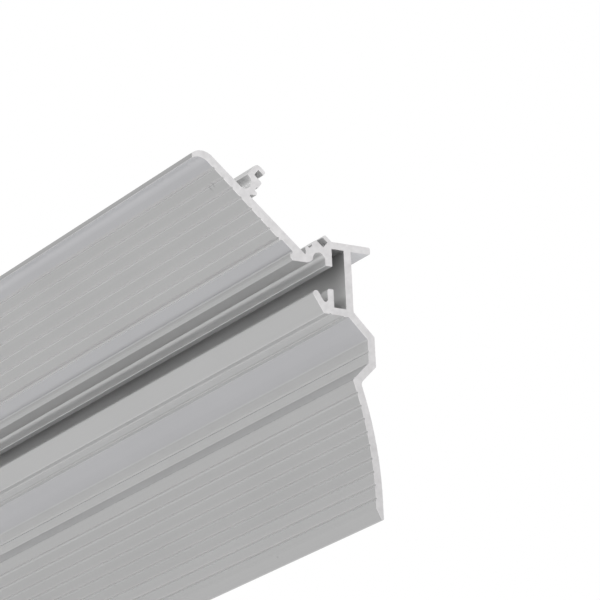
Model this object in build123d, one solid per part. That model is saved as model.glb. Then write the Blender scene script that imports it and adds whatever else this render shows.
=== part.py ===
from build123d import *
import os
from math import cos, degrees, radians, sin, tan

# Plaster-in cove profile for an LED strip: one aluminium extrusion, sawn square at both ends.
# Millimetres. X runs along the length, +Y points into the wall and +Z up.
# The origin is in the middle of the knee's flat back, which bears on the wall at y = 0.

# Overall
length = 1000.0
wall = 1.65
plate_wall = 1.5
edge_radius = 0.4
corner_radius = 0.2
least_flat = 0.02

# Slot for the strip, open to the front through a mouth between two lips
strip_width = 12.0
strip_play = 0.2
slot_depth = 2.8
slot_setback = 4.6
slot_rise = 0.4
lip_reach = 3.75
upper_lip_wall = 1.6
lower_lip_wall = 1.4

# Arm in front of the lower lip, which leaves a V groove for the diffuser's edge
arm_lean = 32.0
arm_wall = 1.4
arm_height = 4.6
arm_foot = 1.05
v_groove_radius = 0.6

# Scribe line and small step under the slot's floor
scribe_offset = 1.5
step_offset = 3.6
step_height = 0.12

# Knee that bears on the wall
knee_flat = 6.2
knee_angle = 45.0
knee_radius = 0.6
knee_groove_depth = 0.18

# Lower flange, a long curve that runs out along the wall
flange_lean = 16.5
flange_curve_radius = 78.0
flange_root_flat = 1.65
flange_end_flat = 3.8
flange_root_radius = 1.2
flange_end_wall = 0.5
flange_bevel_length = 2.3

# Upper flange, in its own slanted frame: u down the slope, w out of its back face
slope = 40.4
flange_reach = 10.85
sunk_inset = 2.4
sunk_width = 3.0
sunk_bevel = 0.3
land_end_wall = 2.1

# Nose at the upper flange's end
nose_radius = 3.54
nose_inner_radius = 2.9
nose_reach = 2.25

# Track for a flat connector, between two hooks that mirror each other
connector_width = 20.0
connector_wall = 1.55
connector_height = 4.3
hook_undercut = 2.0
tooth_reach = 0.9
tooth_low = 1.2
tooth_height = 0.6
tooth_slot = 0.95
recess_height = 0.35
lobe_reach = 0.25
lobe_radius = 0.5
hook_lip_reach = 1.45
hook_lip_wall = 0.85
hook_wall = 1.2
hook_back_radius = 1.1
port_radius = 1.6
port_shelf = 0.4

# Underside of the upper lip's block, with the round groove for the diffuser's edge
block_lift = 0.1
round_groove_radius = 1.42
round_groove_lead = 1.0
round_groove_wall = 1.45
round_groove_lift = 1.54
nib_reach = 0.55
nib_drop = 0.67

# Fine grooves that key the plaster, on the fronts of both flanges
key_width = 0.7
key_depth = 0.25
key_skew = 0.15
upper_key_pitch = 2.62
upper_key_count = 4
upper_key_start = 1.75
upper_key_gap = 3.04
lower_key_pitch = 2.675
lower_key_start = 0.4
lower_key_count = 9

# Worked out from the sizes above
knee_half = knee_flat / 2
shoulder_z = knee_half + slot_setback / tan(radians(knee_angle))
slot_height = strip_width + strip_play
slot_floor_z = shoulder_z + slot_rise
slot_top_z = slot_floor_z + slot_height
plate_top_z = slot_top_z + plate_wall
floor_z = slot_floor_z - plate_wall
slot_back_y = -slot_setback - wall
slot_front_y = slot_back_y - slot_depth
upper_lip_y = slot_front_y - upper_lip_wall
lower_lip_y = slot_front_y - lower_lip_wall
upper_lip_z = slot_top_z - lip_reach
lower_lip_z = slot_floor_z + lip_reach
block_z = upper_lip_z + block_lift

curve_run = flange_curve_radius * tan(radians(flange_lean) / 2)
lean_run = curve_run + flange_root_flat
root_y = -lean_run * sin(radians(flange_lean))
root_z = -knee_half + root_y / tan(radians(knee_angle))
flange_corner_z = root_z - lean_run * cos(radians(flange_lean))
flange_end_z = flange_corner_z - curve_run - flange_end_flat
front_radius = flange_curve_radius - wall
curve_centre = (-flange_curve_radius, flange_corner_z - curve_run)

track_width = connector_width - 2 * hook_undercut
tooth_high = tooth_low + tooth_height
lobe_low = tooth_high + tooth_slot
head_w = connector_height + connector_wall + hook_lip_wall
groove_y = upper_lip_y - round_groove_radius
groove_z = block_z + round_groove_lead + least_flat
groove_u = track_width / 2 + round_groove_wall + round_groove_radius
slope_start_u = -track_width / 2 - flange_reach
sunk_end_u = track_width / 2 - sunk_inset
sunk_start_u = sunk_end_u - sunk_width
land_end_u = sunk_start_u - sunk_bevel


def on_slope(u, w):
    """Section point of a place on the slanted flange, which is placed by the round groove."""
    along = u - groove_u
    out = w - round_groove_lift
    a = radians(slope)
    return (
        groove_y + along * cos(a) + out * sin(a),
        groove_z - along * sin(a) + out * cos(a),
    )


def outline(*corners):
    """Closed face through corners (y, z), each with a radius as its third value where it is rounded."""
    points = [corner[:2] for corner in corners]
    radii = [corner[2] if len(corner) > 2 else 0 for corner in corners]
    return make_face(FilletPolyline(*points, radius=radii, close=True))


def offset_corner(before, corner, after, distance):
    """The corner moved so that both of its lines lie a distance to their right."""
    first = (Vector(*corner[:2]) - Vector(*before[:2])).normalized()
    second = (Vector(*after[:2]) - Vector(*corner[:2])).normalized()
    first_side = Vector(first.Y, -first.X)
    second_side = Vector(second.Y, -second.X)
    move = (first_side + second_side) * (distance / (1 + first_side.dot(second_side)))
    return (corner[0] + move.X, corner[1] + move.Y)


def notch(width, depth, skew):
    """Fine V groove that cuts into +Y from a face on the X axis, its root shifted by skew."""
    return outline((-width / 2, -depth), (-width / 2, 0), (skew, depth), (width / 2, 0), (width / 2, -depth))


def back_wall():
    """Slot's back wall, knee and lower flange: one wall of even thickness along a bent back line."""
    back = [
        (-slot_setback, slot_top_z),
        (-slot_setback, shoulder_z, edge_radius),
        (0, knee_half, knee_radius),
        (0, -knee_half, knee_radius),
        (root_y, root_z, flange_root_radius),
        (0, flange_corner_z, flange_curve_radius),
        (0, flange_end_z, corner_radius),
    ]
    fronts = [offset_corner(*back[i : i + 3], wall) for i in range(len(back) - 2)]
    front_radii = [edge_radius, edge_radius, edge_radius, edge_radius, front_radius]
    front = [(*point, radius) for point, radius in zip(fronts, front_radii)]
    bevel = [
        (-flange_end_wall, flange_end_z, corner_radius),
        (-wall, flange_end_z + flange_bevel_length),
    ]
    return outline(*back, *bevel, *reversed(front), (-slot_setback - wall, slot_top_z))


def plate():
    """Flat plate over the slot that runs back to the wall."""
    return outline(
        (slot_front_y, slot_top_z),
        (0, slot_top_z, edge_radius),
        (0, plate_top_z, edge_radius),
        (slot_front_y, plate_top_z),
    )


def foot():
    """Slot's floor with the lower lip and the leaning arm, and the V groove between them."""
    lean = radians(arm_lean)
    half_wall = arm_wall / 2
    foot_y = lower_lip_y - arm_foot
    along = half_wall + (arm_height - half_wall * (1 + sin(lean))) / cos(lean)
    tip = Vector(foot_y - along * sin(lean), floor_z + along * cos(lean))
    inner_tip = tip + Vector(arm_wall * cos(lean), arm_wall * sin(lean))
    groove_z = inner_tip.Y + (inner_tip.X - lower_lip_y) / tan(lean)
    step_y = lower_lip_y + step_offset
    round_tip = half_wall - least_flat
    return outline(
        (slot_back_y, slot_floor_z),
        (slot_front_y, slot_floor_z),
        (slot_front_y, lower_lip_z, corner_radius),
        (lower_lip_y, lower_lip_z, edge_radius),
        (lower_lip_y, groove_z, v_groove_radius),
        (inner_tip.X, inner_tip.Y, round_tip),
        (tip.X, tip.Y, round_tip),
        (foot_y, floor_z, corner_radius),
        (step_y - step_height, floor_z),
        (step_y, floor_z - step_height),
        (slot_back_y + wall, floor_z - step_height),
        (slot_back_y + wall, slot_floor_z),
    )


def track_side(side):
    """Edge of one hook that faces the track, from the flange up to its lip; side is 1 or -1 along u."""
    corners = [
        (track_width / 2, 0, 0),
        (track_width / 2, recess_height, 0),
        (track_width / 2 - tooth_reach, tooth_low, 0),
        (track_width / 2 - tooth_reach, tooth_high, edge_radius),
        (track_width / 2, tooth_high, corner_radius),
        (track_width / 2, lobe_low, 0),
        (track_width / 2 - lobe_reach, lobe_low, 0),
        (track_width / 2 - lobe_reach, connector_height, lobe_radius),
        (connector_width / 2, connector_height, 0),
        (connector_width / 2, connector_height + connector_wall, 0),
        (connector_width / 2 - hook_lip_reach, connector_height + connector_wall, 0),
        (connector_width / 2 - hook_lip_reach, head_w, edge_radius),
    ]
    return [(*on_slope(side * u, w), radius) for u, w, radius in corners]


def hook():
    """Free hook on the flange's back, with a round screw port behind it."""
    back_u = -connector_width / 2 - hook_wall
    port_u = back_u + port_shelf
    shape = outline(
        *track_side(-1),
        (*on_slope(back_u, head_w), hook_back_radius),
        (*on_slope(back_u, 2 * port_radius), port_shelf / 2),
        on_slope(port_u, 2 * port_radius),
        on_slope(port_u, 0),
    )
    return shape - Pos(*on_slope(port_u, port_radius)) * Circle(port_radius)


def block():
    """Block above the mouth: the second hook, the upper lip, the round groove and the plaster nib."""
    head_y, head_z = on_slope(connector_width / 2, head_w)
    meet_y = head_y + (head_z - plate_top_z) / tan(radians(slope))
    nib_y, nib_root_z = on_slope(sunk_end_u, -wall)
    nib_top_z = nib_root_z - nib_drop
    shape = outline(
        on_slope(sunk_end_u, 0),
        *track_side(1),
        (meet_y, plate_top_z),
        (slot_front_y, plate_top_z),
        (slot_front_y, upper_lip_z, corner_radius),
        (upper_lip_y, upper_lip_z, corner_radius),
        (upper_lip_y, groove_z),
        (groove_y - round_groove_radius, groove_z),
        (groove_y - round_groove_radius, block_z, round_groove_lead),
        (nib_y, block_z, corner_radius),
        (nib_y - nib_reach, block_z + nib_reach, corner_radius),
        (nib_y - nib_reach, nib_top_z, corner_radius),
        (nib_y, nib_top_z + corner_radius, corner_radius),
        (nib_y, nib_root_z),
    )
    return shape - Pos(groove_y, groove_z) * Circle(round_groove_radius)


def upper_flange():
    """Slanted flange, slightly thicker towards the block, with a plain sunk strip at its lower end."""
    return outline(
        on_slope(slope_start_u, 0),
        on_slope(sunk_end_u, 0),
        on_slope(sunk_end_u, -wall),
        on_slope(sunk_start_u, -wall),
        on_slope(land_end_u, -land_end_wall),
        on_slope(slope_start_u, -wall),
    )


def nose():
    """Curled end of the upper flange: a crescent between two circles, cut off square."""
    crescent = Circle(nose_radius) - Pos(0, nose_radius - wall - nose_inner_radius) * Circle(nose_inner_radius)
    quarter = Rectangle(2 * nose_radius, 2 * nose_radius, align=(Align.MAX, Align.MIN))
    centre = on_slope(slope_start_u, -nose_radius)
    curl = Pos(*centre) * Rot(0, 0, -slope) * (crescent & quarter)
    keep = Pos(centre[0] - nose_reach, centre[1]) * Rectangle(
        4 * nose_radius, 2 * nose_radius, align=(Align.MIN, Align.MIN)
    )
    return curl & keep


def upper_keys():
    """Plaster keys on the upper flange's front, in two runs with a wider land behind the hook."""
    taper = (land_end_wall - wall) / (land_end_u - slope_start_u)
    run = (upper_key_count - 1) * upper_key_pitch
    keys = []
    for start in (upper_key_start, upper_key_start + run + upper_key_gap):
        for number in range(upper_key_count):
            along = start + number * upper_key_pitch
            place = Pos(*on_slope(slope_start_u + along, -wall - along * taper))
            keys.append(place * Rot(0, 0, -slope) * notch(key_width, key_depth, key_skew))
    return keys


def lower_keys():
    """Plaster keys on the lower flange's front, evenly spaced round its curve."""
    places = PolarLocations(
        front_radius,
        lower_key_count,
        start_angle=degrees(lower_key_start / front_radius),
        angular_range=degrees((lower_key_count - 1) * lower_key_pitch / front_radius),
        endpoint=True,
    )
    shape = Rot(0, 0, -90) * notch(key_width, key_depth, -key_skew)
    return [Pos(*curve_centre) * place * shape for place in places]


def small_grooves():
    """Scribe line under the slot's floor and the line down the middle of the knee."""
    scribe = Pos(lower_lip_y + scribe_offset - arm_foot, floor_z) * notch(key_width, key_depth, 0)
    knee_line = Pos(-wall, 0) * Rot(0, 0, -90) * notch(key_width, knee_groove_depth, 0)
    return [scribe, knee_line]


def section():
    """Whole cross-section, with y to the right and z up."""
    shape = upper_flange() + nose() + hook() + block() + plate() + back_wall() + foot()
    for groove in upper_keys() + lower_keys() + small_grooves():
        shape -= groove
    return shape


def profile():
    """The extrusion, centred on its mid-length."""
    return extrude(Plane.YZ * section(), amount=length / 2, both=True)


os.makedirs("parts", exist_ok=True)
part = profile()
part.label = "profile"
export_step(part, "parts/profile.step")
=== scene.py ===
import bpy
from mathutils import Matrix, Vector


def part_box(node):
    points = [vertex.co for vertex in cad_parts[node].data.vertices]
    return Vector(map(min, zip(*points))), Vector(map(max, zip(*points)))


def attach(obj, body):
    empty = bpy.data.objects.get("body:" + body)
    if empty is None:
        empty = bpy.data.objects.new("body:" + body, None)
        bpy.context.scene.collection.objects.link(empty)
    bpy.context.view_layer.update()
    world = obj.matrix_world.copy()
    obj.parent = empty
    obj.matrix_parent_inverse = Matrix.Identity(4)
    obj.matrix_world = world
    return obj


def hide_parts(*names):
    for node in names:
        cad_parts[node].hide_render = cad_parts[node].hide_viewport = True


bl_info = {
    "name": "Plaster-in LED profile",
    "version": (1, 0, 0),
    "blender": (4, 5, 0),
    "location": "3D View > Sidebar > LED profile",
    "description": "Extruded aluminium cove profile for an LED strip, in raw mill finish with sawn ends",
    "category": "Object",
}

from collections import namedtuple

import bpy
import numpy as np
from bpy.props import FloatProperty, FloatVectorProperty, IntProperty, PointerProperty
from mathutils import Matrix, Vector

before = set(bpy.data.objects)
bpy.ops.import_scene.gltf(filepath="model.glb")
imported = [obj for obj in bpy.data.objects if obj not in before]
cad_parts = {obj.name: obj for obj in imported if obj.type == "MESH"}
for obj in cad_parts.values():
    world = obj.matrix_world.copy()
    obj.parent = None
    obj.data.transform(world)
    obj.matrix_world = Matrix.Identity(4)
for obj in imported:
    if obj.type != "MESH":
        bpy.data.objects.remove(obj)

MM = 0.001
CAD_LOW, CAD_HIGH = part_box("profile")
QUARTER = np.pi / 2

# Faces that look a little cooler, and those whose painted shade changes evenly from a first to a last one
COOL_FACES = ["plate_underside", "nose_inside", "upper_root", "sunk_strip", "knee_upper"]
GRADED_FACES = {"slot_back": ("slot", "slot_low"), "nose_inside": ("nose_hollow", "nose_inside")}

# Small marks on the drawn surface: place and reach in millimetres, and how much darker it is there
DRAWN_MARKS = [
    ((494.5, -33.1, 31.3), (0.4, 1.1, 1.1), 0.22),
    ((495.9, -33.3, 31.5), (0.35, 0.9, 0.9), 0.26),
    ((480.1, -39.9, 35.9), (0.8, 0.4, 0.4), 0.6),
    ((462.0, -1.65, -32.6), (0.5, 0.5, 0.4), 0.3),
]
SAWN_MARKS = [
    ((500.0, -22.1, 20.8), (1.0, 0.9, 0.6), 0.1),
    ((500.0, -13.4, 10.6), (1.0, 0.7, 0.9), 0.08),
    ((500.0, -1.4, -20.0), (1.0, 0.9, 1.6), 0.05),
]

# Waves of a ragged edge: length in millimetres, height, and where each starts in radians
RAGGED_WAVES = [(1.31, 0.4, 0.0), (0.57, 0.3, 1.0), (0.83, 0.25, 2.0)]

# Rings of points between the sawn bevels, and the sawn ends' material slot, after the drawn surface's
RINGS = 9
SAWN_SLOT = 1

# Lands of the lower flange that share its end's painted shade
LOW_LANDS = 3

# Length under which a stretch is left out, and a hair's breadth beside a point, in metres
NO_LENGTH = 1e-7
HAIR = 1e-9

# Noise of the fine and the broad lines, as scale, detail and roughness, and the lines' height in metres
FINE_NOISE = (1.0, 2.0, 0.6)
BROAD_NOISE = (0.22, 1.0, 0.5)
LINE_HEIGHT = 0.00002

# Clouding, and the share of a small mark's reach that is its core
CLOUD_DETAIL = 3.0
CLOUD_RANGE = (0.3, 0.7)
MARK_CORE = 0.3

# Both metals: evenness of the lines, size and share of the clouding, bump, and range of shades
Look = namedtuple("Look", "evenness cloud_size cloud_share bump darkest lightest")
MILL_LOOK = Look(evenness=0.55, cloud_size=0.03, cloud_share=0.25, bump=0.15, darkest=0.93, lightest=1.07)
SAWN_LOOK = Look(evenness=0.7, cloud_size=0.0012, cloud_share=0.4, bump=0.2, darkest=0.86, lightest=1.12)

# Drawn surface: die lines per metre along X, Y and Z, and how far the roughness goes up and down
DIE_LINES = (4.0, 3200.0, 3200.0)
ROUGHNESS_SPREAD = 0.05

# Sawn face: centre of the blade, lines per metre along and across its arcs, and how much darker it gets
# lower down
BLADE_CENTRE = (0.0, 0.09, -0.12)
SAW_ARC_LINES = 60.0
SAW_SWEEP_LINES = 1600.0
SAWN_HEIGHTS = (-0.03, 0.03)
SAWN_LOWER_DARKENING = (0.87, 1.0)

# Stage, in metres, but the camera's sensor in millimetres
LAMP_PLACE = (0.6, -0.5, -0.55)
LAMP_WIDTH = 0.6
FLOOR_ROUGHNESS = 0.9
SENSOR_WIDTH = 36.0
NEAREST_SEEN = 0.01


def size(description, millimetres):
    """Length whose default is given in millimetres and kept in metres."""
    return FloatProperty(description=description, default=millimetres * MM, unit="LENGTH", precision=5)


def turn(description, degrees):
    """Angle whose default is given in degrees and kept in radians."""
    return FloatProperty(description=description, default=np.radians(degrees), unit="ROTATION")


def colour(description, value):
    """Linear colour."""
    return FloatVectorProperty(description=description, default=value, subtype="COLOR", min=0, max=1)


def share(description, value):
    """Plain number between nothing and one."""
    return FloatProperty(description=description, default=value, min=0, max=1, subtype="FACTOR")


def shade(description, value):
    """Painted shade of one face: a brightness factor that stands in for the light and shade the face gets.
    """
    return FloatProperty(description=description, default=value, min=0.2, max=2.0)


def whole(description, value):
    """Whole number from one up."""
    return IntProperty(description=description, default=value, min=1)


def named(group):
    """The group with each of its settings named after its key."""
    for key, setting in group.__annotations__.items():
        setting.keywords["name"] = key.replace("_", " ").capitalize()
    return group


# Sizes and finishes that a user may change


@named
class SlotSizes(bpy.types.PropertyGroup):
    """Slot for the strip, its mouth, and the walls round it."""

    wall: size("Thickness of the slot's back, the knee and both flanges", 1.65)
    plate_wall: size("Thickness of the plate over the slot and of the slot's floor", 1.5)
    edge_radius: size("Rounding of the ordinary edges", 0.4)
    corner_radius: size("Rounding of the fine corners", 0.2)
    slot_height: size("Height of the slot, a strip and its play", 12.2)
    slot_depth: size("Depth of the slot behind the lips", 2.8)
    slot_setback: size("How far the slot's back stands off the wall", 4.6)
    slot_rise: size("How far the slot's floor lies above the knee's shoulder", 0.4)
    lip_reach: size("How far each lip closes the slot's mouth", 3.75)
    upper_lip_wall: size("Thickness of the upper lip", 1.6)
    lower_lip_wall: size("Thickness of the lower lip", 1.4)
    arm_lean: turn("Lean of the arm in front of the lower lip", 32.0)
    arm_wall: size("Thickness of the leaning arm", 1.4)
    arm_height: size("Height of the arm above the floor's underside", 4.6)
    arm_foot: size("How far the arm's foot stands in front of the lower lip", 1.05)
    v_groove_radius: size("Rounding in the bottom of the groove behind the arm", 0.6)
    scribe_offset: size("Place of the scribe line, behind the arm's foot", 1.5)
    step_offset: size("Place of the small step, behind the lower lip's front", 3.6)
    step_height: size("Height of the small step under the floor", 0.12)
    step_margin: size("Width of the duller margin in front of the step", 0.6)


@named
class LowerFlangeSizes(bpy.types.PropertyGroup):
    """Knee on the wall and the curved flange that runs out below it."""

    knee_flat: size("Height of the knee's flat back", 6.2)
    knee_angle: turn("Slant of the knee's two limbs", 45.0)
    knee_radius: size("Rounding of the knee's back corners", 0.6)
    knee_groove: size("Depth of the line down the middle of the knee", 0.18)
    lean: turn("Lean of the flange's root off the wall", 16.5)
    curve_radius: size("Radius of the flange's back", 78.0)
    root_flat: size("Straight part above the curve", 1.65)
    end_flat: size("Straight part below the curve, on the wall", 3.8)
    root_radius: size("Rounding behind the root", 1.2)
    end_wall: size("Thickness of the flange's thin end", 0.5)
    bevel_length: size("Length of the bevel that thins the end", 2.3)


@named
class UpperFlangeSizes(bpy.types.PropertyGroup):
    """Slanted upper flange with its curled nose."""

    slope: turn("Slope of the upper flange", 40.4)
    reach: size("Plain length of the flange beyond the track", 10.85)
    sunk_inset: size("Distance of the plain sunk strip from the track's side", 2.4)
    sunk_width: size("Width of the plain sunk strip", 3.0)
    sunk_bevel: size("Width of the bevel beside the sunk strip", 0.3)
    land_end_wall: size("Thickness of the flange beside the sunk strip", 2.1)
    nose_radius: size("Outer radius of the nose", 3.54)
    nose_inner_radius: size("Inner radius of the nose", 2.9)
    nose_reach: size("Where the nose is cut off, from its centre", 2.25)


@named
class TrackSizes(bpy.types.PropertyGroup):
    """Track for a flat connector, between two hooks that mirror each other."""

    connector_width: size("Distance between the bottoms of the two slots", 20.0)
    connector_wall: size("Height of the two slots", 1.55)
    connector_height: size("Height of the slots above the flange", 4.3)
    undercut: size("How far the slots reach beyond the track's sides", 2.0)
    tooth_reach: size("How far the small tooth stands out", 0.9)
    tooth_low: size("Height of the tooth's underside", 1.2)
    tooth_height: size("Thickness of the tooth", 0.6)
    tooth_slot: size("Gap between the tooth and the lobe above it", 0.95)
    recess_height: size("Straight part beside the flange", 0.35)
    lobe_reach: size("How far the lobe stands out", 0.25)
    lobe_radius: size("Rounding of the lobe", 0.5)
    lip_reach: size("How far the hook's lip covers the slot", 1.45)
    lip_wall: size("Thickness of the hook's lip", 0.85)
    hook_wall: size("Thickness of the free hook behind its slot", 1.2)
    hook_back_radius: size("Rounding of the free hook's back", 1.1)
    port_radius: size("Radius of the screw port behind the hook", 1.6)
    port_shelf: size("Short shelf above the screw port", 0.4)


@named
class BlockSizes(bpy.types.PropertyGroup):
    """Block above the mouth, with the round groove and the plaster nib."""

    lift: size("How far the block's underside lies above the upper lip's edge", 0.1)
    groove_radius: size("Radius of the groove for the diffuser's bead", 1.42)
    groove_lead: size("Height of the lead into the groove from the front", 1.0)
    lead_radius: size("Rounding of the lead, between the underside and its slanted part", 2.1)
    lead_end: size("Length of the small rounding between the lead and the groove", 0.12)
    groove_wall: size("Metal between the groove and the track's side", 1.45)
    groove_lift: size("Height of the groove's centre above the flange's back", 1.54)
    nib_reach: size("How far the nib stands out", 0.55)
    nib_drop: size("How far the nib's top lies below the flange's front", 0.67)
    flat: size("Short flat that is left between two roundings", 0.02)


@named
class KeySizes(bpy.types.PropertyGroup):
    """Fine grooves that key the plaster."""

    width: size("Width of a fine groove", 0.7)
    depth: size("Depth of a fine groove", 0.25)
    skew: size("Shift of a groove's root", 0.15)
    upper_pitch: size("Distance between the keys of the upper flange", 2.62)
    upper_start: size("Distance of the first key from the nose", 1.75)
    upper_gap: size("Wider land between the upper flange's two runs", 3.04)
    lower_pitch: size("Distance between the keys of the lower flange", 2.675)
    lower_start: size("Distance of the lowest key from the curve's end", 0.4)
    upper_count: whole("Keys in each of the two runs", 4)
    lower_count: whole("Keys on the lower flange", 9)


@named
class PaintedFaceShades(bpy.types.PropertyGroup):
    """Painted light and shade of each face: its brightness against the plain mill colour, standing in for
    the light and shade it gets.
    """

    back: shade("Faces towards the wall and out of sight", 1.0)
    plate_underside: shade("Plate behind the slot, seen from below", 1.38)
    track: shade("Connector track and its hooks", 1.45)
    hook_back: shade("Outer back of the free hook", 1.22)
    port_shelf: shade("Short shelf above the screw port", 1.85)
    port: shade("Wall of the screw port, behind the free hook", 2.0)
    port_floor: shade("Floor of the screw port", 1.12)
    nose: shade("Outside of the curled nose", 0.74)
    nose_cut: shade("Upright part of the nose's cut edge", 0.8)
    nose_edge: shade("Slanted part of the nose's cut edge", 0.42)
    nose_hollow: shade("Inside of the curled nose, at its cut edge", 1.65)
    nose_inside: shade("Inside of the curled nose, where it runs into the flange", 1.0)
    upper_root: shade("Land between the nose and the first key", 0.98)
    upper_flange: shade("Keyed front of the upper flange", 0.93)
    upper_key_ramp: shade("Long wall of the upper flange's fine grooves", 1.17)
    upper_key_wall: shade("Short wall of the upper flange's fine grooves", 1.33)
    last_key: shade("Fine groove beside the sunk strip", 1.08)
    sunk_bevel: shade("Bevel beside the sunk strip", 1.55)
    sunk_strip: shade("Plain strip above the nib", 1.0)
    nib_root: shade("Top of the nib and the step down to it", 1.3)
    nib: shade("Front of the nib", 0.92)
    block: shade("Underside of the block", 1.08)
    round_groove: shade("Groove for the diffuser's bead", 1.46)
    lips: shade("Both lips of the mouth", 1.28)
    slot: shade("Top of the slot", 1.45)
    slot_low: shade("Floor of the slot", 1.68)
    arm: shade("Leaning arm and the V groove behind it", 1.0)
    floor_front: shade("Underside of the slot's floor in front of the scribe line", 1.25)
    scribe_line: shade("Scribe line under the slot's floor", 1.08)
    floor_middle: shade("Underside of the slot's floor behind the scribe line", 1.53)
    floor_margin: shade("Margin in front of the small step", 1.33)
    floor_step: shade("Small step under the slot's floor", 0.85)
    floor_behind: shade("Underside of the slot's floor behind the step", 1.4)
    knee_upper: shade("Upper limb of the knee", 1.06)
    knee_flat: shade("Flat middle of the knee", 1.15)
    knee_line: shade("Upper wall of the line down the middle of the knee", 1.08)
    knee_line_low: shade("Lower wall of the line down the middle of the knee", 1.28)
    knee_lower: shade("Lower limb of the knee", 1.285)
    lower_flange: shade("Keyed front of the lower flange", 0.885)
    lower_ends: shade("Root of the lower flange and its lowest lands", 0.935)
    lower_key_wall: shade("Short wall of the lower flange's fine grooves", 1.03)
    lower_key_ramp: shade("Long wall of the lower flange's fine grooves", 1.21)


@named
class Finish(bpy.types.PropertyGroup):
    """Length of the piece and the looks of its metal."""

    length: size("Length the profile is sawn to", (CAD_HIGH.x - CAD_LOW.x) / MM)
    saw_break: size("Mean width of the ragged bevel that the saw leaves round the end", 0.06)
    round_steps: whole("Steps in each rounding", 10)
    longest_step: size("Longest step along the outline", 0.15)
    # Edges brightened partly as wear and partly as a painted highlight: how far from an edge, and how much
    wear_and_sheen_reach: size("How far wear spreads from an edge", 0.12)
    wear_and_sheen_gain: share("How much brighter worn edges are", 0.5)
    # How far each face's painted shade, cool tint and height in the slot run into the next face
    face_blend: size("How far the skin of one face runs into the next", 0.15)
    mill_colour: colour("Colour of the raw drawn surface", (0.405, 0.405, 0.405))
    cool_colour: colour("Colour where the drawn surface looks cooler", (0.4, 0.4, 0.412))
    sawn_colour: colour("Colour of the sawn end", (0.742, 0.732, 0.737))
    mill_roughness: share("Roughness of the drawn surface", 0.36)
    sawn_roughness: share("Roughness of the sawn end", 0.55)
    mill_metallic: share("How metallic the drawn surface is under its dull oxide skin", 0.4)
    # Painted shade in the slot's top beside the sawn ends: how much darker, and how far it runs in
    slot_end_shade: share("How much darker the top of the slot is beside the sawn ends", 0.43)
    end_shade_reach: size("How far the slot's stain runs in from an end", 14.0)


@named
class Stage(bpy.types.PropertyGroup):
    """Camera, lamp, world and floor."""

    azimuth: turn("Direction the camera looks in, from +Y towards -X", 57.98865)
    elevation: turn("Height of the camera above the horizon", -18.28992)
    roll: turn("Turn of the camera about its line of sight", -2.644)
    distance: size("From the camera to the point it looks at", 794.163)
    aim: FloatVectorProperty(
        description="Point the camera looks at",
        default=(0.495436, -0.014115, 0.010362),
        subtype="TRANSLATION",
        precision=6,
    )
    focal_length: FloatProperty(description="Focal length of the camera, in millimetres", default=241.584)
    floor_height: size("Height of the floor, well below the camera", -1500.0)
    floor_size: size("Width of the floor", 80000.0)
    floor_colour: colour("Colour of the floor", (0.96, 0.96, 0.96))
    background: colour("Colour of the world", (1.0, 1.0, 1.0))
    world_light: share("Strength of the world as a soft light", 1.0)
    key_light: FloatProperty(description="Power of the soft lamp", default=1.4, unit="POWER")


# Cross-section


def turned(vectors, angles):
    """Vectors (..., 2) turned counterclockwise by angles (...)."""
    c, s, y, z = np.cos(angles), np.sin(angles), vectors[..., 0], vectors[..., 1]
    return np.stack([c * y - s * z, s * y + c * z], axis=-1)


def turns(first, second):
    """Angle from each first vector counterclockwise to the second."""
    cross = first[:, 0] * second[:, 1] - first[:, 1] * second[:, 0]
    return np.arctan2(cross, (first * second).sum(axis=1))


def on_circle(centre, radius, angle):
    """Place at an angle on a circle."""
    return centre[0] + radius * np.cos(angle), centre[1] + radius * np.sin(angle)


def bend(centre, radius, start, end):
    """Rounded corner whose rounding is the arc about a centre between two angles.

    It lies where the tangents at the two angles meet: on the middle angle, at the radius over the cosine of
    half the arc.
    """
    middle, half = (start + end) / 2, (end - start) / 2
    return (*on_circle(centre, radius / np.cos(half), middle), radius)


def offset_corner(before, corner, after, distance):
    """The corner moved so that both of its lines lie a distance to their right.

    It moves along the sum of the lines' two normals, by the distance over one plus their product.
    """
    before, corner, after = (np.array(point[:2]) for point in (before, corner, after))
    first = (corner - before) / np.linalg.norm(corner - before)
    second = (after - corner) / np.linalg.norm(after - corner)
    sides = turned(np.stack([first, second]), np.full(2, -QUARTER))
    move = sides.sum(axis=0) * distance / (1 + sides[0] @ sides[1])
    return tuple(corner + move)


def faced(face, corners):
    """Corners (y, z, radius, face), where the face is the one that starts at the corner.

    A corner that has no radius is sharp, and one that names its own face keeps it.
    """
    return [(*corner, *(0.0, face)[len(corner) - 2 :]) for corner in corners]


def rounded(corners, steps):
    """Closed outline through corners (y, z, radius, face).

    It gives its points, the normals at the two ends of the stretch after each point, and each point's face.
    An arc starts its radius times the tangent of half the turn before its corner. Its point at a share of
    the turn is its centre plus the radius times the outward normal, which is the right side of the line of
    travel turned by that share. Stretches of no length, as in a sharp corner, are left out.
    """
    place = np.array([corner[:2] for corner in corners])
    radius = np.array([corner[2:3] for corner in corners])
    faces = np.repeat([corner[3] for corner in corners], steps + 1)
    leaving = np.roll(place, -1, axis=0) - place
    leaving /= np.linalg.norm(leaving, axis=1, keepdims=True)
    arriving = np.roll(leaving, 1, axis=0)
    bending = turns(arriving, leaving)[:, None]
    begin = place - arriving * radius * np.tan(np.abs(bending) / 2)
    outward = turned(arriving, np.full(len(place), -QUARTER))
    signed = radius * np.sign(bending)
    centre = begin - outward * signed
    normals = turned(outward[:, None, :], bending * np.linspace(0, 1, steps + 1))
    points = centre[:, None, :] + normals * signed[:, None, :]
    points, normals = points.reshape(-1, 2), normals.reshape(-1, 2)
    kept = np.linalg.norm(np.roll(points, -1, axis=0) - points, axis=1) > NO_LENGTH
    return points[kept], normals[kept], np.roll(normals, -1, axis=0)[kept], faces[kept]


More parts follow.
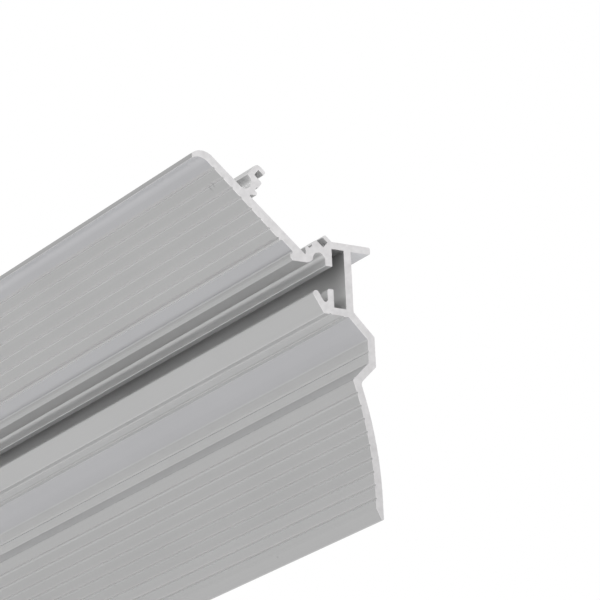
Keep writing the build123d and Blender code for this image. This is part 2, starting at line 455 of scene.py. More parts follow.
def divided(outline, longest):
    """The outline with its long stretches cut into equal parts no longer than a given length."""
    points, starts, ends, faces = outline
    step = np.roll(points, -1, axis=0) - points
    parts = np.ceil(np.linalg.norm(step, axis=1) / longest).astype(int)
    source = np.repeat(np.arange(len(points)), parts)
    number = np.arange(len(source)) - np.repeat(np.cumsum(parts) - parts, parts)
    low = (number / parts[source])[:, None]
    high = ((number + 1) / parts[source])[:, None]
    along = [starts[source] + (ends - starts)[source] * part for part in (low, high)]
    along = [normal / np.linalg.norm(normal, axis=1, keepdims=True) for normal in along]
    return points[source] + step[source] * low, along[0], along[1], faces[source]


def change_within(reach, place, far, level, total, growth):
    """How much a level changes from a reach before each place on the closed outline to a reach after it.

    The level is known at some distances along the outline, and grows by the same amount each time round.
    """
    far = np.concatenate([far - total, far, far + total])
    level = np.concatenate([level - growth, level, level + growth])
    return np.interp(place + reach, far, level) - np.interp(place - reach, far, level)


def outline_places(outline):
    """Distance along the outline of each point, and length of the stretch after it."""
    length = np.linalg.norm(np.roll(outline[0], -1, axis=0) - outline[0], axis=1)
    return np.cumsum(length) - length, length


def blended(outline, values, reach):
    """Values of the stretches, averaged over a reach on each side of each point."""
    place, length = outline_places(outline)
    grown = np.cumsum(values * length)
    return change_within(reach, place, place, grown - values * length, length.sum(), grown[-1]) / (2 * reach)


def ragged(place):
    """Uneven width round 1 of a sawn edge: 1 plus three sine waves of lengths that don't fit each other."""
    return 1 + sum(
        height * np.sin(2 * np.pi * place / (length * MM) + start) for length, height, start in RAGGED_WAVES
    )


def painted_face_shades(outline, tones):
    """Painted shade of each stretch: a brightness that stands in for light and shade, and changes evenly
    along a graded face.
    """
    place, _ = outline_places(outline)
    faces = outline[3]
    painted_shade = np.array([getattr(tones, GRADED_FACES.get(face, (face,))[0]) for face in faces])
    for face, (first, last) in GRADED_FACES.items():
        along = place[faces == face]
        painted_shade[faces == face] = np.interp(along, along[[0, -1]], [getattr(tones, first), getattr(tones, last)])
    return painted_shade


def height_in_slot(outline):
    """Height of each stretch inside the slot, from 0 on its floor to 1 at its top, and 0 elsewhere."""
    inside = np.isin(outline[3], ["slot", "slot_back"])
    height = outline[0][:, 1]
    return np.where(inside, (height - height[inside].min()) / np.ptp(height[inside]), 0.0)


def edge_wear_and_sheen(outline, reach):
    """How strongly the outline turns outwards within a reach on each side of a point, 1 for a right angle.

    The outline's heading adds up the turns of its normals. The turning is the heading a reach further on,
    less the heading a reach before. Half a right angle of it gives no brightening yet. The edges it marks
    are brightened partly as wear and partly as a painted highlight.
    """
    _, starts, ends, _ = outline
    place, length = outline_places(outline)
    at_point, within = turns(np.roll(ends, 1, axis=0), starts), turns(starts, ends)
    heading = np.cumsum(at_point + within) - within
    far = np.stack([place - HAIR, place + HAIR], axis=1).ravel()
    level = np.stack([heading - at_point, heading], axis=1).ravel()
    turning = change_within(reach, place, far, level, length.sum(), 2 * np.pi)
    return np.clip(turning / (QUARTER / 2) - 1, 0, 1)


class Section:
    """Heights and depths that follow from the sizes, and the corners of the cross-section.

    The section is seen from +X, with y to the right and z up, and its corners run counterclockwise.
    """

    def __init__(self, scene):
        self.slot, self.lower, self.upper = scene.profile_slot, scene.profile_lower, scene.profile_upper
        self.track, self.block, self.keys = scene.profile_track, scene.profile_block, scene.profile_keys
        slot, lower, upper, track, block = self.slot, self.lower, self.upper, self.track, self.block
        self.knee_half = lower.knee_flat / 2
        self.shoulder_z = self.knee_half + slot.slot_setback / np.tan(lower.knee_angle)
        self.slot_floor_z = self.shoulder_z + slot.slot_rise
        self.slot_top_z = self.slot_floor_z + slot.slot_height
        self.plate_top_z = self.slot_top_z + slot.plate_wall
        self.floor_z = self.slot_floor_z - slot.plate_wall
        self.slot_back_y = -slot.slot_setback - slot.wall
        self.slot_front_y = self.slot_back_y - slot.slot_depth
        self.upper_lip_y = self.slot_front_y - slot.upper_lip_wall
        self.lower_lip_y = self.slot_front_y - slot.lower_lip_wall
        self.upper_lip_z = self.slot_top_z - slot.lip_reach
        self.lower_lip_z = self.slot_floor_z + slot.lip_reach
        self.block_z = self.upper_lip_z + block.lift

        curve_run = lower.curve_radius * np.tan(lower.lean / 2)
        lean_run = curve_run + lower.root_flat
        root_y = -lean_run * np.sin(lower.lean)
        self.root = (root_y, -self.knee_half + root_y / np.tan(lower.knee_angle), lower.root_radius)
        self.curve_corner_z = self.root[1] - lean_run * np.cos(lower.lean)
        self.end_z = self.curve_corner_z - curve_run - lower.end_flat
        self.front_radius = lower.curve_radius - slot.wall
        self.curve_centre = (-lower.curve_radius, self.curve_corner_z - curve_run)

        self.track_half = track.connector_width / 2 - track.undercut
        self.tooth_high = track.tooth_low + track.tooth_height
        self.lobe_low = self.tooth_high + track.tooth_slot
        self.head_w = track.connector_height + track.connector_wall + track.lip_wall
        self.groove = (self.upper_lip_y - block.groove_radius, self.block_z + block.groove_lead + block.flat)
        self.groove_u = self.track_half + block.groove_wall + block.groove_radius
        self.start_u = -self.track_half - upper.reach
        self.sunk_end_u = self.track_half - upper.sunk_inset
        self.sunk_start_u = self.sunk_end_u - upper.sunk_width
        self.land_end_u = self.sunk_start_u - upper.sunk_bevel

    def on_slope(self, u, w, radius=0.0):
        """Corner given in the slanted flange's own frame, u down the slope and w out of its back."""
        along, out = u - self.groove_u, w - self.block.groove_lift
        c, s = np.cos(self.upper.slope), np.sin(self.upper.slope)
        return (self.groove[0] + along * c + out * s, self.groove[1] - along * s + out * c, radius)

    def back(self):
        """Back of the lower flange, the knee and the slot, and round the plate's edge."""
        slot, lower = self.slot, self.lower
        return [
            (0, self.end_z, slot.corner_radius),
            (0, self.curve_corner_z, lower.curve_radius),
            self.root,
            (0, -self.knee_half, lower.knee_radius),
            (0, self.knee_half, lower.knee_radius),
            (-slot.slot_setback, self.shoulder_z, slot.edge_radius),
            (-slot.slot_setback, self.slot_top_z, 0.0, "plate_underside"),
            (0, self.slot_top_z, slot.edge_radius),
            (0, self.plate_top_z, slot.edge_radius),
        ]

    def track_side(self, side):
        """Edge of one hook that faces the track, from the flange up to its lip."""
        track, edge = self.track, self.slot.edge_radius
        half, slot_u = self.track_half, track.connector_width / 2
        slot_w = track.connector_height + track.connector_wall
        corners = [
            (half, 0, 0),
            (half, track.recess_height, 0),
            (half - track.tooth_reach, track.tooth_low, 0),
            (half - track.tooth_reach, self.tooth_high, edge),
            (half, self.tooth_high, self.slot.corner_radius),
            (half, self.lobe_low, 0),
            (half - track.lobe_reach, self.lobe_low, 0),
            (half - track.lobe_reach, track.connector_height, track.lobe_radius),
            (slot_u, track.connector_height, 0),
            (slot_u, slot_w, 0),
            (slot_u - track.lip_reach, slot_w, 0),
            (slot_u - track.lip_reach, self.head_w, edge),
        ]
        return [self.on_slope(side * u, w, radius) for u, w, radius in corners]

    def track_and_hooks(self):
        """From the plate's top over the block's hook, along the track's floor and over the free hook."""
        track, slope = self.track, self.upper.slope
        head_y, head_z, _ = self.on_slope(track.connector_width / 2, self.head_w)
        meet_y = head_y + (head_z - self.plate_top_z) / np.tan(slope)
        back_u = -track.connector_width / 2 - track.hook_wall
        port_u, radius = back_u + track.port_shelf, track.port_radius
        port = self.on_slope(port_u, radius)
        return [
            (meet_y, self.plate_top_z),
            *reversed(self.track_side(1)),
            *self.track_side(-1),
            (*self.on_slope(back_u, self.head_w, track.hook_back_radius), "hook_back"),
            (*self.on_slope(back_u, 2 * radius, track.port_shelf / 2), "port_shelf"),
            (*bend(port, radius, QUARTER - slope, -slope), "port"),
            (*bend(port, radius, -slope, -QUARTER - slope), "port_floor"),
            (*self.on_slope(port_u, 0), "back"),
        ]

    def nose(self):
        """Curled end: out along the outer circle, square down the cut, and back along the inner circle.

        The cut goes straight down to the slanted line through the outer circle's centre, and follows that
        line to the inner circle.
        """
        upper, slope = self.upper, self.upper.slope
        outer = self.on_slope(self.start_u, -upper.nose_radius)
        inner = self.on_slope(self.start_u, -self.slot.wall - upper.nose_inner_radius)
        cut_y = outer[0] - upper.nose_reach
        start = QUARTER - slope
        outer_end = np.arccos(-upper.nose_reach / upper.nose_radius)
        rise = self.slot.wall + upper.nose_inner_radius - upper.nose_radius
        inner_end = np.pi - np.arcsin(rise / upper.nose_inner_radius) - slope
        return [
            bend(outer, upper.nose_radius, start, outer_end),
            (cut_y, outer[1] + upper.nose_radius * np.sin(outer_end), 0.0, "nose_cut"),
            (cut_y, outer[1] + upper.nose_reach * np.tan(slope), 0.0, "nose_edge"),
            (*on_circle(inner, upper.nose_inner_radius, inner_end), 0.0, "nose_inside"),
            (*bend(inner, upper.nose_inner_radius, inner_end, start), "nose_inside"),
        ]

    def upper_front(self):
        """Front of the upper flange: two runs of fine grooves on a thickening land, and the sunk strip."""
        keys, wall, land_wall = self.keys, self.slot.wall, self.upper.land_end_wall
        taper = (land_wall - wall) / (self.land_end_u - self.start_u)
        number = np.arange(keys.upper_count) * keys.upper_pitch
        second = keys.upper_start + number[-1] + keys.upper_gap
        along = np.concatenate([keys.upper_start + number, second + number])
        shape = np.array([(-keys.width / 2, 0.0), (keys.skew, keys.depth), (keys.width / 2, 0.0)])
        u = (along[:, None] + shape[:, 0]).ravel()
        w = (-wall - taper * along[:, None] + shape[:, 1]).ravel()
        names = ["upper_key_ramp", "upper_key_wall", "upper_flange"] * len(along)
        names[-3:-1] = ["last_key", "last_key"]
        return [
            (*self.on_slope(self.start_u, -wall), "upper_root"),
            *[(*self.on_slope(*place), face) for *place, face in zip(self.start_u + u, w, names)],
            (*self.on_slope(self.land_end_u, -land_wall), "sunk_bevel"),
            (*self.on_slope(self.sunk_start_u, -wall), "sunk_strip"),
            (*self.on_slope(self.sunk_end_u, -wall), "nib_root"),
        ]

    def block_front(self):
        """Nib, underside of the block, round groove and upper lip."""
        block, fine = self.block, self.slot.corner_radius
        nib_y, nib_root_z, _ = self.on_slope(self.sunk_end_u, -self.slot.wall)
        nib_top_z = nib_root_z - block.nib_drop
        nib_front_y = nib_y - block.nib_reach
        groove_front_y = self.groove[0] - block.groove_radius
        lead_rise = self.groove[1] - self.block_z - block.flat - block.lead_end
        groove = [
            (groove_front_y, self.block_z + lead_rise, block.lead_end / np.tan(QUARTER / 4)),
            bend(self.groove, block.groove_radius, 2 * QUARTER, QUARTER),
            bend(self.groove, block.groove_radius, QUARTER, 0),
        ]
        return [
            (nib_y, nib_top_z + fine, fine, "nib_root"),
            (nib_front_y, nib_top_z, fine, "nib"),
            (nib_front_y, self.block_z + block.nib_reach, fine, "nib"),
            (nib_y, self.block_z, fine, "block"),
            (groove_front_y - lead_rise, self.block_z, block.lead_radius, "block"),
            *faced("round_groove", groove),
            (self.upper_lip_y, self.upper_lip_z, fine, "lips"),
        ]

    def slot_and_arm(self):
        """Inside of the slot, lower lip, V groove, leaning arm and the slot floor's underside."""
        slot, keys = self.slot, self.keys
        half_wall = slot.arm_wall / 2
        lean = slot.arm_lean
        foot_y = self.lower_lip_y - slot.arm_foot
        along = half_wall + (slot.arm_height - half_wall * (1 + np.sin(lean))) / np.cos(lean)
        tip = (foot_y - along * np.sin(lean), self.floor_z + along * np.cos(lean))
        inner_tip = (tip[0] + slot.arm_wall * np.cos(lean), tip[1] + slot.arm_wall * np.sin(lean))
        v_groove_z = inner_tip[1] + (inner_tip[0] - self.lower_lip_y) / np.tan(lean)
        round_tip = half_wall - self.block.flat
        scribe_y, half_key = foot_y + slot.scribe_offset, keys.width / 2
        step_y = self.lower_lip_y + slot.step_offset
        step_front_y = step_y - slot.step_height
        return [
            (self.slot_front_y, self.upper_lip_z, slot.corner_radius, "slot"),
            (self.slot_front_y, self.slot_top_z, 0.0, "slot"),
            (self.slot_back_y, self.slot_top_z, 0.0, "slot_back"),
            (self.slot_back_y, self.slot_floor_z, 0.0, "slot_low"),
            (self.slot_front_y, self.slot_floor_z, 0.0, "slot_low"),
            (self.slot_front_y, self.lower_lip_z, slot.corner_radius, "lips"),
            (self.lower_lip_y, self.lower_lip_z, slot.edge_radius, "lips"),
            (self.lower_lip_y, v_groove_z, slot.v_groove_radius, "arm"),
            (*inner_tip, round_tip, "arm"),
            (*tip, round_tip, "arm"),
            (foot_y, self.floor_z, slot.corner_radius, "floor_front"),
            (scribe_y - half_key, self.floor_z, 0.0, "scribe_line"),
            (scribe_y, self.floor_z + keys.depth, 0.0, "scribe_line"),
            (scribe_y + half_key, self.floor_z, 0.0, "floor_middle"),
            (step_front_y - slot.step_margin, self.floor_z, 0.0, "floor_margin"),
            (step_front_y, self.floor_z, 0.0, "floor_step"),
            (step_y, self.floor_z - slot.step_height, 0.0, "floor_behind"),
        ]

    def lower_front(self):
        """Front of the knee with its middle line, and of the lower flange with its fine grooves.

        Its corners are the back's, from the plate's underside down to the curve, moved in by the wall.
        """
        slot, lower, keys = self.slot, self.lower, self.keys
        bends = self.back()[6:0:-1]
        neighbours = zip(bends, bends[1:], bends[2:])
        shoulder, upper_bend, lower_bend, root = (offset_corner(*three, slot.wall) for three in neighbours)
        under_floor_z = self.floor_z - slot.step_height
        meet_y = shoulder[0] + (shoulder[1] - under_floor_z) * np.tan(lower.knee_angle)
        radius, half_key, edge = self.front_radius, keys.width / 2, slot.edge_radius
        half, skew = half_key / radius, keys.skew / radius
        middle = (keys.lower_start + np.arange(keys.lower_count)[::-1] * keys.lower_pitch) / radius
        ridge = middle[:, None] + np.array([half, skew, -half])
        away = radius + np.array([0.0, keys.depth, 0.0])
        grooves = np.stack([*on_circle(self.curve_centre, away, ridge), np.zeros_like(ridge)], axis=2)
        pairs = zip(middle, middle[1:])
        lands = [[bend(self.curve_centre, radius, high - half, low + half)] for high, low in pairs]
        land_faces = ["lower_flange"] * (keys.lower_count - LOW_LANDS) + ["lower_ends"] * LOW_LANDS
        keyed = [
            (*corner, face)
            for groove, land, last in zip(grooves, [*lands, []], land_faces)
            for corner, face in zip([*groove, *land], ["lower_key_wall", "lower_key_ramp", last, last])
        ]
        return [
            (meet_y, under_floor_z, 0.0, "knee_upper"),
            (*upper_bend, edge, "knee_flat"),
            (-slot.wall, half_key, 0.0, "knee_line"),
            (-slot.wall + lower.knee_groove, 0, 0.0, "knee_line_low"),
            (-slot.wall, -half_key, 0.0, "knee_flat"),
            (*lower_bend, edge, "knee_lower"),
            (*root, edge, "lower_ends"),
            *keyed,
            (-slot.wall, self.curve_centre[1], 0.0, "lower_ends"),
            (-slot.wall, self.end_z + lower.bevel_length, 0.0, "lower_ends"),
            (-lower.end_wall, self.end_z, slot.corner_radius, "lower_ends"),
        ]

    def corners(self):
        """All corners of the closed outline."""
        return [
            *faced("back", self.back()),
            *faced("track", self.track_and_hooks()),
            *faced("nose", self.nose()),
            *self.upper_front(),
            *self.block_front(),
            *self.slot_and_arm(),
            *self.lower_front(),
        ]


# Extruded mesh


def new_object(name, data):
    """New object in the scene."""
    made = bpy.data.objects.new(name, data)
    bpy.context.collection.objects.link(made)
    return made


def extrude_mesh(name, outline, stations, insets, values_along):
    """Outline carried along X, closed by a flat face at each end.

    The point of ring r and outline point i is (station r, point i minus its inset times its mitre). A mitre
    is the sum of the two normals beside a point over one plus their product. Each face has the outline's
    exact normals, and the bevel rings lean halfway to the ends. Values along the outline become attributes.
    """
    points, starts, ends, _ = outline
    count, rings = len(points), len(stations)
    before = np.roll(ends, 1, axis=0)
    mitre = (before + starts) / (1 + (before * starts).sum(axis=1, keepdims=True))
    section = points[None] - insets[:, :, None] * mitre[None]
    vertices = np.concatenate([np.broadcast_to(stations[:, None, None], (rings, count, 1)), section], axis=2)

    ring = np.arange(rings - 1)[:, None] * count
    here = np.arange(count)[None]
    there = (here + 1) % count
    quads = np.stack([ring + here, ring + there, ring + count + there, ring + count + here], axis=2)
    last = (rings - 1) * count + np.arange(count)
    faces = quads.reshape(-1, 4).tolist() + [last.tolist(), np.arange(count)[::-1].tolist()]

    sides = np.zeros((rings - 1, count, 4, 3))
    sides[:, :, :, 1:] = np.stack([starts, ends, ends, starts], axis=1)[None]
    sides[0, :, :, 0] = -1
    sides[-1, :, :, 0] = 1
    sides /= np.linalg.norm(sides, axis=3, keepdims=True)
    caps = np.zeros((2, count, 3))
    caps[:, :, 0] = np.array([[1], [-1]])
    normals = np.concatenate([sides.reshape(-1, 3), caps.reshape(-1, 3)])

    mesh = bpy.data.meshes.new(name)
    mesh.from_pydata(vertices.reshape(-1, 3).tolist(), [], faces)
    cut = np.zeros(len(faces), dtype=np.int32)
    cut[:count] = cut[-count - 2 :] = SAWN_SLOT
    mesh.polygons.foreach_set("material_index", cut)
    mesh.polygons.foreach_set("use_smooth", np.ones(len(faces), dtype=bool))
    mesh.normals_split_custom_set(normals.tolist())
    for label, values in values_along.items():
        layer = mesh.attributes.new(label, "FLOAT", "POINT")
        layer.data.foreach_set("value", np.tile(values, rings).astype(np.float32))
    mesh.update()
    return new_object(name, mesh)


# Nodes


def fill(tree, node, *values, **inputs):
    """Give a node's inputs their values or links, in order or by name."""
    named = {key.replace("_", " "): value for key, value in inputs.items()}
    for key, value in [*enumerate(values), *named.items()]:
        if isinstance(value, bpy.types.NodeSocket):
            tree.links.new(value, node.inputs[key])
        else:
            node.inputs[key].default_value = value


def add(tree, kind, *values, settings=None, **inputs):
    """New node with its settings and inputs."""
    made = tree.nodes.new(kind)
    for key, value in (settings or {}).items():
        setattr(made, key, value)
    fill(tree, made, *values, **inputs)
    return made


def maths(tree, operation, *values):
    """Number worked out from others."""
    return add(tree, "ShaderNodeMath", *values, settings={"operation": operation}).outputs[0]


def vector_maths(tree, operation, *values, **inputs):
    """Vector worked out from others, or the length of one as a number."""
    made = add(tree, "ShaderNodeVectorMath", *values, settings={"operation": operation}, **inputs)
    return made.outputs["Value" if operation == "LENGTH" else "Vector"]


def ranged(tree, value, start=0.0, end=1.0, low=0.0, high=1.0):
    """Number carried over from one range to another and held at its limits."""
    return add(tree, "ShaderNodeMapRange", value, start, end, low, high).outputs["Result"]


def mixed(tree, factor, low, high):
    """Number between two others."""
    return add(tree, "ShaderNodeMix", Factor=factor, A=low, B=high).outputs["Result"]


def mixed_colours(tree, factor, low, high):
    """Colour between two others, through the colour sockets of the node: inputs 6 and 7, and output 2."""
    made = add(tree, "ShaderNodeMix", factor, settings={"data_type": "RGBA"})
    for socket, value in zip(made.inputs[6:8], (low, high)):
        socket.default_value = (*value, 1.0)
    return made.outputs[2]


def attribute(tree, name):
    """Value that the mesh holds at each of its points."""
    return add(tree, "ShaderNodeAttribute", settings={"attribute_name": name}).outputs["Fac"]


def new_material(name):
    """New material with its node tree, Principled shader and Object coordinates."""
    material = bpy.data.materials.new(name)
    material.use_nodes = True
    tree = material.node_tree
    tree.nodes.clear()
    shader = add(tree, "ShaderNodeBsdfPrincipled")
    add(tree, "ShaderNodeOutputMaterial", Surface=shader.outputs["BSDF"])
    return material, tree, shader, add(tree, "ShaderNodeTexCoord").outputs["Object"]


# Effects that both finishes share


def new_group(name, inputs, outputs):
    """Empty shader group, as its tree, the sockets of its input node, and its output node.

    An input is a number where its value is one, and a vector elsewhere. All outputs are numbers.
    """
    group = bpy.data.node_groups.new(name, "ShaderNodeTree")
    for label, value in inputs.items():
        kind = "NodeSocketFloat" if isinstance(value, float) else "NodeSocketVector"
        socket = group.interface.new_socket(name=label, in_out="INPUT", socket_type=kind)
        if value is not None:
            socket.default_value = value
    for label in outputs:
        group.interface.new_socket(name=label, in_out="OUTPUT", socket_type="NodeSocketFloat")
    return group, group.nodes.new("NodeGroupInput").outputs, group.nodes.new("NodeGroupOutput")


def fine_lines_group():
    """Fine and broad lines along a direction, which a die or a saw leaves in metal.

    Position is measured so that one unit across is one line wide, and it is pressed flat along the lines.
    """
    group, source, result = new_group("fine lines", {"Position": None, "Evenness": 0.5}, ["Tone", "Height"])
    fine, wide = (
        add(group, "ShaderNodeTexNoise", source["Position"], Scale=scale, Detail=detail, Roughness=roughness)
        for scale, detail, roughness in (FINE_NOISE, BROAD_NOISE)
    )
    tone = mixed(group, source["Evenness"], wide.outputs["Fac"], fine.outputs["Fac"])
    fill(group, result, Tone=tone, Height=fine.outputs["Fac"])
    return group


def clouding_group():
    """Soft cloudy patches, as handled raw metal has, from none at 0 to most at 1."""
    group, source, result = new_group("clouding", {"Position": None, "Size": 0.02}, ["Mask"])
    scale = maths(group, "DIVIDE", 1.0, source["Size"])
    noise = add(group, "ShaderNodeTexNoise", source["Position"], Scale=scale, Detail=CLOUD_DETAIL)
    fill(group, result, Mask=ranged(group, noise.outputs["Fac"], *CLOUD_RANGE))
    return group


def small_mark_group():
    """One small mark, 0 beyond its reach in each direction and 1 in its core."""
    reach = (MM, MM, MM)
    sockets = {"Position": None, "Place": (0.0, 0.0, 0.0), "Reach": reach}
    group, source, result = new_group("small mark", sockets, ["Mask"])
    offset = vector_maths(group, "SUBTRACT", source["Position"], source["Place"])
    away = vector_maths(group, "LENGTH", vector_maths(group, "DIVIDE", offset, source["Reach"]))
    fill(group, result, Mask=ranged(group, away, 1.0, MARK_CORE))
    return group


def place_group(tree, group, **inputs):
    """Results of a shared effect that is placed in a material with its own values."""
    return add(tree, "ShaderNodeGroup", settings={"node_tree": group}, **inputs).outputs


# Finishes


def lined_metal(tree, lines, clouding, position, pressed, look):
    """Tone of fine lines under clouding, and the normal that the lines give."""
    drawn = place_group(tree, lines, Position=pressed, Evenness=look.evenness)
    clouds = place_group(tree, clouding, Position=position, Size=look.cloud_size)
    tone = mixed(tree, look.cloud_share, drawn["Tone"], clouds["Mask"])
    bump = add(tree, "ShaderNodeBump", Height=drawn["Height"], Strength=look.bump, Distance=LINE_HEIGHT)
    return tone, bump.outputs["Normal"]


def dimmed(tree, gain, mask, amount):
    """Brightness taken down by an amount where a mask is 1."""
    return maths(tree, "MULTIPLY", gain, ranged(tree, mask, low=1.0, high=1.0 - amount))


def marked(tree, gain, mark, position, marks):
    """Brightness taken down at each small mark."""
    for place, reach, amount in marks:
        place, reach = ([distance * MM for distance in distances] for distances in (place, reach))
        spot = place_group(tree, mark, Position=position, Place=place, Reach=reach)
        gain = dimmed(tree, gain, spot["Mask"], amount)
    return gain


def end_shaded(tree, gain, finish, position):
    """Painted shade: brightness taken down in the slot beside the two ends, most at the slot's top."""
    away = maths(tree, "ABSOLUTE", add(tree, "ShaderNodeSeparateXYZ", position).outputs["X"])
    near = ranged(tree, away, finish.length / 2 - finish.end_shade_reach, finish.length / 2)
    return dimmed(tree, gain, maths(tree, "MULTIPLY", near, attribute(tree, "slot")), finish.slot_end_shade)


def mill_finish(finish, lines, clouding, mark):
    """Raw extruded surface: silky metal with die lines along X, faint clouding and a few marks, with painted
    light and shade.
    """
    material, tree, shader, position = new_material("mill finish")
    pressed = add(tree, "ShaderNodeMapping", position, Scale=DIE_LINES, settings={"vector_type": "POINT"})
    tone, normal = lined_metal(tree, lines, clouding, position, pressed.outputs[0], MILL_LOOK)
    # Painted shade: each face is made brighter or darker to stand in for the light and shade it gets
    painted_shade, cool, wear_and_sheen = (attribute(tree, name) for name in ("painted_shade", "cool", "wear_and_sheen"))
    base = mixed_colours(tree, cool, finish.mill_colour, finish.cool_colour)
    # Edges brightened partly as wear and partly as a painted highlight
    painted_and_worn = maths(tree, "MULTIPLY_ADD", wear_and_sheen, finish.wear_and_sheen_gain, painted_shade)
    gain = maths(tree, "MULTIPLY", painted_and_worn, ranged(tree, tone, low=MILL_LOOK.darkest, high=MILL_LOOK.lightest))
    # Painted shade in the slot's top beside the sawn ends
    gain = end_shaded(tree, marked(tree, gain, mark, position, DRAWN_MARKS), finish, position)
    rough = finish.mill_roughness
    fill(
        tree,
        shader,
        Base_Color=vector_maths(tree, "SCALE", base, Scale=gain),
        Roughness=ranged(tree, tone, low=rough - ROUGHNESS_SPREAD, high=rough + ROUGHNESS_SPREAD),
        Metallic=finish.mill_metallic,
        Normal=normal,
    )
    return material


def sawn_end(finish, lines, clouding, mark):
    """Sawn face: paler and duller, with faint arcs about a far centre where the blade came through."""
    material, tree, shader, position = new_material("sawn end")
    blade = vector_maths(tree, "SUBTRACT", position, BLADE_CENTRE)
    flat = vector_maths(tree, "MULTIPLY", blade, (0.0, 1.0, 1.0))
    arcs = vector_maths(tree, "SCALE", flat, Scale=SAW_ARC_LINES)
    sweep = maths(tree, "MULTIPLY", vector_maths(tree, "LENGTH", flat), SAW_SWEEP_LINES)
    pressed = vector_maths(tree, "ADD", arcs, add(tree, "ShaderNodeCombineXYZ", sweep).outputs[0])
    tone, normal = lined_metal(tree, lines, clouding, position, pressed, SAWN_LOOK)
    gains = SAWN_LOOK.darkest, SAWN_LOOK.lightest
    base = mixed_colours(tree, tone, *([channel * gain for channel in finish.sawn_colour] for gain in gains))
    height = add(tree, "ShaderNodeSeparateXYZ", position).outputs["Z"]
    gain = marked(tree, ranged(tree, height, *SAWN_HEIGHTS, *SAWN_LOWER_DARKENING), mark, position, SAWN_MARKS)
    fill(
        tree,
        shader,
        Base_Color=vector_maths(tree, "SCALE", base, Scale=gain),
        Roughness=finish.sawn_roughness,
        Metallic=1.0,
        Normal=normal,
    )
    return material


# Stage


def camera_matrix(stage):
    """Place and turn of the camera.

    It stands at the aim plus the distance times the direction back from it, and is rolled about that. The
    direction's x and y are the azimuth's sine and minus its cosine, both times the elevation's cosine, and
    its z is the elevation's sine.
    """
    ca, sa = np.cos(stage.azimuth), np.sin(stage.azimuth)
    ce, se = np.cos(stage.elevation), np.sin(stage.elevation)
    back = Vector((sa * ce, -ca * ce, se))
    level_right = Vector((ca, sa, 0.0))
    level_up = back.cross(level_right)
    right = level_right * np.cos(stage.roll) + level_up * np.sin(stage.roll)
    up = back.cross(right)
    turned_frame = Matrix((right, up, back)).transposed().to_4x4()
    return Matrix.Translation(Vector(stage.aim) + back * stage.distance) @ turned_frame


def seen_rays(tree):
    """1 for rays that show the background itself: from the camera, in gloss and through glass."""
    path = add(tree, "ShaderNodeLightPath").outputs
    gloss = maths(tree, "MAXIMUM", path["Is Camera Ray"], path["Is Glossy Ray"])
    return maths(tree, "MAXIMUM", gloss, path["Is Transmission Ray"])


def make_world(stage):
    """Even pale world, white where it is seen."""
    world = bpy.data.worlds.new("studio")
    world.use_nodes = True
    tree = world.node_tree
    tree.nodes.clear()
    strength = mixed(tree, seen_rays(tree), stage.world_light, 1.0)
    light = add(tree, "ShaderNodeBackground", Color=(*stage.background, 1.0), Strength=strength)
    add(tree, "ShaderNodeOutputWorld", Surface=light.outputs[0])
    bpy.context.scene.world = world


def make_floor(stage):
    """Plain pale floor, far below the profile. It is clear from underneath, where the camera may be."""
    half = stage.floor_size / 2
    sides = np.array([(-half, -half), (half, -half), (half, half), (-half, half)])
    corners = np.concatenate([sides, np.full((4, 1), stage.floor_height)], axis=1)
    mesh = bpy.data.meshes.new("floor")
    mesh.from_pydata(corners.tolist(), [], [(0, 1, 2, 3)])
    material, tree, shader, _ = new_material("floor")
    fill(tree, shader, Base_Color=(*stage.floor_colour, 1.0), Roughness=FLOOR_ROUGHNESS)
    below = add(tree, "ShaderNodeNewGeometry").outputs["Backfacing"]
    clear = add(tree, "ShaderNodeBsdfTransparent").outputs["BSDF"]
    either = add(tree, "ShaderNodeMixShader", below, shader.outputs["BSDF"], clear)
    fill(tree, tree.nodes["Material Output"], Surface=either.outputs["Shader"])
    mesh.materials.append(material)
    new_object("floor", mesh)


def make_lamp(stage):
    """Large soft round lamp that shines at the camera's aim and isn't seen itself."""
    light = bpy.data.lights.new("key", "AREA")
    light.shape = "DISK"
    light.size = LAMP_WIDTH
    light.energy = stage.key_light
    lamp = new_object("key", light)
    place = Vector(LAMP_PLACE)
    facing = (place - Vector(stage.aim)).to_track_quat("Z", "Y")
    lamp.matrix_world = Matrix.Translation(place) @ facing.to_matrix().to_4x4()
    lamp.visible_camera = False


def make_camera(stage):
    """Camera at the photograph's viewing angle."""
    lens = bpy.data.cameras.new("camera")
    lens.sensor_width = SENSOR_WIDTH
    lens.lens = stage.focal_length
    lens.clip_start = NEAREST_SEEN
    camera = new_object("camera", lens)
    camera.matrix_world = camera_matrix(stage)
    bpy.context.scene.camera = camera


# Operators


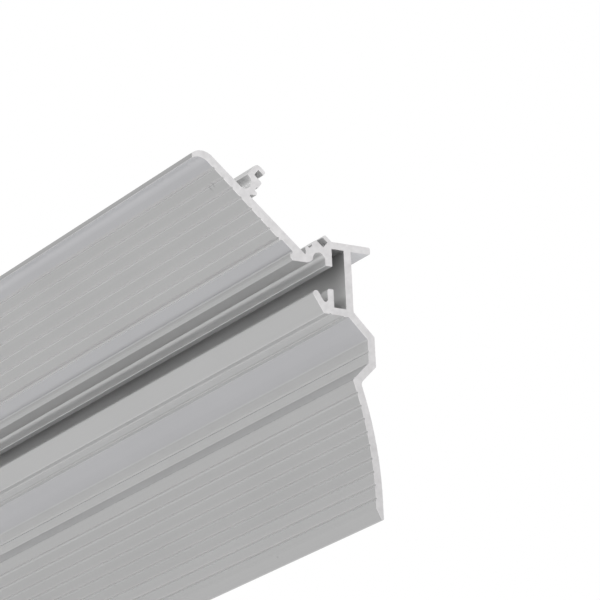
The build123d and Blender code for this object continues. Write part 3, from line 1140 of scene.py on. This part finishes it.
class MakeProfile(bpy.types.Operator):
    """Make the extruded profile with its mill finish and sawn ends"""

    bl_idname = "led_profile.make_profile"
    bl_label = "Make profile"

    def execute(self, context):
        finish = context.scene.profile_finish
        outline = divided(rounded(Section(context.scene).corners(), finish.round_steps), finish.longest_step)
        # Painted shade of each face, standing in for the light and shade it gets
        painted_shade = painted_face_shades(outline, context.scene.profile_skin)
        along_outline = {
            "painted_shade": blended(outline, painted_shade, finish.face_blend),
            "cool": blended(outline, np.isin(outline[3], COOL_FACES), finish.face_blend),
            # Edges brightened partly as wear and partly as a painted highlight
            "wear_and_sheen": edge_wear_and_sheen(outline, finish.wear_and_sheen_reach),
            # Height in the slot, the mask of the painted shade beside the ends
            "slot": blended(outline, height_in_slot(outline), finish.face_blend),
        }
        half, saw = finish.length / 2, finish.saw_break
        inner = np.linspace(-half + saw, half - saw, RINGS)
        stations = np.concatenate([[-half], inner, [half]])
        insets = np.zeros((len(stations), len(outline[0])))
        insets[[0, -1]] = saw * ragged(outline_places(outline)[0])
        piece = extrude_mesh("extruded_profile", outline, stations, insets, along_outline)
        lines, clouding, mark = fine_lines_group(), clouding_group(), small_mark_group()
        piece.data.materials.append(mill_finish(finish, lines, clouding, mark))
        piece.data.materials.append(sawn_end(finish, lines, clouding, mark))
        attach(piece, "root")
        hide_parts("profile")
        return {"FINISHED"}


class MakeStage(bpy.types.Operator):
    """Set the world, floor, lamp and camera"""

    bl_idname = "led_profile.make_stage"
    bl_label = "Make stage"

    def execute(self, context):
        stage = context.scene.profile_stage
        context.scene.view_settings.view_transform = "Standard"
        make_world(stage)
        make_floor(stage)
        make_lamp(stage)
        make_camera(stage)
        return {"FINISHED"}


class ProfilePanel(bpy.types.Panel):
    """Operators and settings of the LED profile"""

    bl_idname = "VIEW3D_PT_led_profile"
    bl_label = "LED profile"
    bl_space_type = "VIEW_3D"
    bl_region_type = "UI"
    bl_category = "LED profile"

    def draw(self, context):
        self.layout.operator(MakeProfile.bl_idname)
        self.layout.operator(MakeStage.bl_idname)
        for name, group in SETTINGS.items():
            box = self.layout.box()
            box.label(text=group.__doc__)
            for key in group.__annotations__:
                box.prop(getattr(context.scene, name), key)


SETTINGS = {
    "profile_slot": SlotSizes,
    "profile_lower": LowerFlangeSizes,
    "profile_upper": UpperFlangeSizes,
    "profile_track": TrackSizes,
    "profile_block": BlockSizes,
    "profile_keys": KeySizes,
    "profile_skin": PaintedFaceShades,
    "profile_finish": Finish,
    "profile_stage": Stage,
}
OPERATORS = [MakeProfile, MakeStage]


def register():
    for cls in [*SETTINGS.values(), *OPERATORS, ProfilePanel]:
        bpy.utils.register_class(cls)
    for name, group in SETTINGS.items():
        setattr(bpy.types.Scene, name, PointerProperty(type=group))


def unregister():
    for name in SETTINGS:
        delattr(bpy.types.Scene, name)
    for cls in reversed([*SETTINGS.values(), *OPERATORS, ProfilePanel]):
        bpy.utils.unregister_class(cls)


def main():
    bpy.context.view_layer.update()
    register()
    bpy.ops.led_profile.make_profile()
    bpy.ops.led_profile.make_stage()


if __name__ == "__main__":
    main()
